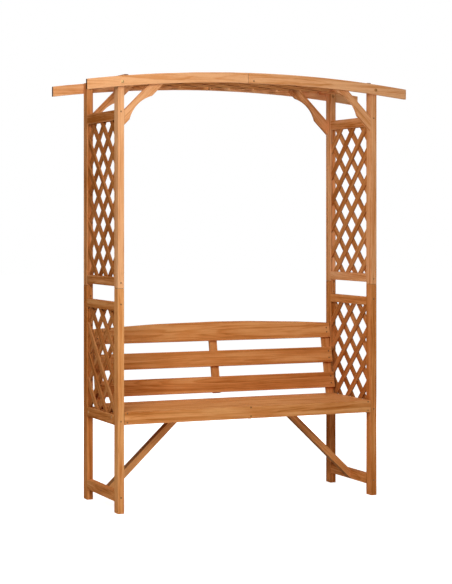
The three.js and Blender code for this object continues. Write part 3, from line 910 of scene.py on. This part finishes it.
def staples(node, panel, place, most):
    """A wire staple over each crossing, on the upper layer."""
    bm = bmesh.new()
    half_width, half_height = panel["width"] / 2 - SLAT_WIDTH, panel["height"] / 2 - SLAT_WIDTH
    step = SLAT_SPACING * HALF_ROOT
    for i in range(-2 * most, 2 * most + 1):
        for j in range(-2 * most, 2 * most + 1):
            spot = panel["crossing"] + Vector(((i - j) * step, (i + j) * step))
            if abs(spot.x) > half_width or abs(spot.y) > half_height:
                continue
            stray = [DRAW.uniform(-STAPLE_STRAY, STAPLE_STRAY) for _ in range(2)]
            turned = Matrix.Rotation(math.pi / 4 + DRAW.uniform(-STAPLE_TURN, STAPLE_TURN), 4, "Z")
            local = Matrix.Translation((spot.x + stray[0], spot.y + stray[1], panel["thickness"])) @ turned
            made = bmesh.ops.create_cone(
                bm, segments=STAPLE_STEPS, radius1=STAPLE_RADIUS, radius2=STAPLE_RADIUS,
                depth=STAPLE_LENGTH, cap_ends=True,
            )
            bmesh.ops.transform(bm, matrix=local @ Matrix.Rotation(math.pi / 2, 4, "Y"), verts=made["verts"])
    bm.transform(place)
    finished(object_from(bm, f"{node}_staples"), BRONZE)


def build_side_lattices():
    for node, (shift, drop) in CROSSINGS.items():
        hand = SIDES[node.rsplit("_", 1)[1]]
        low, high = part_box(node)
        middle = (low + high) / 2
        panel = {
            "width": high.y - low.y, "height": high.z - low.z,
            "crossing": Vector((shift, high.z - GROOVE_HOLD - drop - middle.z)),
            "thickness": (high.x - low.x) / 2, "blocks": [],
        }
        # The panel's width runs to the rear, its height up and its upper layer outwards.
        turned = Matrix(((0, 0, hand, 0), (1, 0, 0, 0), (0, 1, 0, 0), (0, 0, 0, 1)))
        lattice(node, panel, Matrix.Translation(middle) @ turned)


def build_roof_lattice():
    """The roof's panel is level, and its slats make room for the splice plates."""
    low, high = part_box("roof_lattice")
    blocks = []
    for face, way in FACES.items():
        plate_low, plate_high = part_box(f"splice_plate_{face}")
        blocks.append({
            "edge": way, "centre": (plate_low.x + plate_high.x) / 2, "length": plate_high.x - plate_low.x,
            "depth": plate_high.y - plate_low.y + FIT_GAP,
        })
    panel = {
        "width": high.x - low.x, "height": high.y - low.y, "crossing": Vector((ROOF_CROSSING, 0)),
        "thickness": (high.z - low.z) / 2, "blocks": blocks,
    }
    # The roof slats' sawn sides take a deeper painted shade, for the shade between the two layers.
    lattice("roof_lattice", panel, Matrix.Translation((low + high) / 2), ROOF_SIDE_SHADE)


# Bolts

def bolt(length, place):
    """A domed bolt, from the top of its head to its tip, with a washer and a nut near the tip."""
    tip = -length
    nut_foot = tip + THREAD_PROUD
    washer_foot = nut_foot + NUT_HEIGHT
    washer_top = washer_foot + WASHER_THICKNESS
    thread = [
        (BOLT_RADIUS - THREAD_DEPTH * (step % 2), tip + CHAMFER + step * THREAD_PITCH / 2)
        for step in range(2 * THREAD_TURNS)
    ]
    angles = (math.pi / 2 * (1 - step / DOME_STEPS) for step in range(DOME_STEPS))
    dome = [(BOLT_HEAD_RADIUS * math.sin(a), BOLT_HEAD_HEIGHT * (math.cos(a) - 1)) for a in angles]
    shank = [(BOLT_RADIUS - CHAMFER, tip), *thread, (BOLT_RADIUS, -BOLT_HEAD_HEIGHT)]
    washer = [
        (WASHER_RADIUS - CHAMFER, washer_foot), (WASHER_RADIUS, washer_foot + CHAMFER),
        (WASHER_RADIUS, washer_top - CHAMFER), (WASHER_RADIUS - CHAMFER, washer_top),
    ]
    nut = [
        (NUT_RADIUS - 2 * CHAMFER, nut_foot), (NUT_RADIUS, nut_foot + CHAMFER),
        (NUT_RADIUS, washer_foot - CHAMFER), (NUT_RADIUS - CHAMFER, washer_foot),
    ]
    whole = joined([turned_piece(shank + dome), turned_piece(washer), turned_piece(nut, NUT_SIDES)])
    whole.transform(place)
    return whole


def bolt_piece(bm, name, metal):
    """A piece with smooth round sides and sharp rims."""
    obj = object_from(bm, name)
    obj.data.polygons.foreach_set("use_smooth", [True] * len(obj.data.polygons))
    obj.data.set_sharp_from_angle(angle=SHARP_ANGLE)
    finished(obj, metal)
    return obj


def build_beam_bolts():
    for face, way in FACES.items():
        for side in SIDES:
            node = f"beam_bolt_{face}_{side}"
            low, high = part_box(node)
            top = Vector(((low.x + high.x) / 2, outer_y(node, way), (low.z + high.z) / 2))
            # The paler brass on the one bolt is a painted highlight.
            metal = HIGHLIGHT_BRASS if node == HIGHLIGHT_BOLT else TARNISHED
            obj = bolt_piece(bolt(high.y - low.y, facing(top, way * Y)), f"{node}_dome", metal)
            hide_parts(node)


def build_bearer_bolts():
    """The bolts that hold the seat's end bearers to the side frames, through the seat rails."""
    for side, hand in SIDES.items():
        rail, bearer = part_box(f"seat_rail_{side}"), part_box(f"seat_bearer_{side}")
        outer, inner = (rail[1].x, bearer[0].x) if hand > 0 else (rail[0].x, bearer[1].x)
        top = outer + hand * BOLT_HEAD_HEIGHT
        length = abs(top - inner) + WASHER_THICKNESS + NUT_HEIGHT + THREAD_PROUD
        bolts = [bolt(length, facing(Vector((top, y, z)), hand * X)) for y, z in BEARER_BOLTS]
        bolt_piece(joined(bolts), f"bearer_bolts_{side}", TARNISHED)


# Stage, light and camera

def view_rays(tree):
    """One for the rays of the camera and of gloss and glass, which see the white background."""
    path = tree.nodes.new("ShaderNodeLightPath")
    seen = math_of(tree, "MAXIMUM", path.outputs["Is Camera Ray"], path.outputs["Is Glossy Ray"])
    return math_of(tree, "MAXIMUM", seen, path.outputs["Is Transmission Ray"])


def build_floor():
    bpy.ops.mesh.primitive_plane_add(size=FLOOR_SIZE, location=(0, 0, 0))
    floor = bpy.context.object
    floor.name = "floor"
    material, tree, shader = new_material("floor_white")
    fill_sockets(tree, shader, {
        "Base Color": FLOOR_COLOUR, "Roughness": FLOOR_ROUGHNESS, "Specular IOR Level": 0.0,
    })
    # The floor's own glow fills the white in where the lamps fall off, away from the object.
    place = tree.nodes.new("ShaderNodeTexCoord").outputs["Object"]
    distance = tree.nodes.new("ShaderNodeVectorMath")
    distance.operation = "LENGTH"
    tree.links.new(place, distance.inputs[0])
    spread = tree.nodes.new("ShaderNodeMapRange")
    fill_sockets(tree, spread, {
        "Value": distance.outputs["Value"], "From Min": GLOW_NEAR, "From Max": GLOW_FAR,
        "To Min": FLOOR_GLOW, "To Max": 1.0,
    })
    glow = tree.nodes.new("ShaderNodeEmission")
    tree.links.new(math_of(tree, "MULTIPLY", view_rays(tree), spread.outputs[0]), glow.inputs["Strength"])
    whole = tree.nodes.new("ShaderNodeAddShader")
    fill_sockets(tree, whole, {0: shader.outputs[0], 1: glow.outputs[0]})
    tree.links.new(whole.outputs[0], tree.nodes["Material Output"].inputs[0])
    floor.data.materials.append(material)


def build_world():
    """White to the camera and in gloss and glass, and nearly dark as a light."""
    world = bpy.data.worlds.new("studio")
    bpy.context.scene.world = world
    world.use_nodes = True
    tree = world.node_tree
    ambient = fill_sockets(tree, tree.nodes["Background"], {0: (1, 1, 1), 1: AMBIENT})
    white = fill_sockets(tree, tree.nodes.new("ShaderNodeBackground"), {0: (1, 1, 1), 1: 1.0})
    mixed = tree.nodes.new("ShaderNodeMixShader")
    fill_sockets(tree, mixed, {0: view_rays(tree), 1: ambient.outputs[0], 2: white.outputs[0]})
    tree.links.new(mixed.outputs[0], tree.nodes["World Output"].inputs[0])


def build_lamps():
    for name, place, target, size, power in LAMPS:
        data = bpy.data.lights.new(name, "AREA")
        data.shape = "SQUARE"
        data.size = size
        data.energy = power
        obj = linked(name, data)
        obj.location = place
        obj.rotation_euler = (Vector(target) - Vector(place)).to_track_quat("-Z", "Y").to_euler()


def build_camera():
    """The photograph's view: level, with the horizon above the middle of the picture."""
    data = bpy.data.cameras.new("camera")
    data.sensor_fit = "AUTO"
    data.sensor_width = SENSOR_MM
    data.lens = FOCAL_PX / PHOTO_HEIGHT_PX * SENSOR_MM
    data.shift_y = -(PHOTO_HEIGHT_PX / 2 - HORIZON_PX) / PHOTO_HEIGHT_PX
    camera = linked("camera", data)
    camera.location = EYE
    camera.rotation_euler = (math.pi / 2, 0, -YAW)
    bpy.context.scene.camera = camera


build_camera()
place_frame_screws()
place_seat_screws()
place_back_screws()
place_roof_screws()
build_frames()
build_roof()
build_seat()
build_back()
build_side_lattices()
build_roof_lattice()
build_beam_bolts()
build_bearer_bolts()
build_screws()
build_floor()
build_world()
build_lamps()

bpy.context.scene.view_settings.view_transform = "Standard"
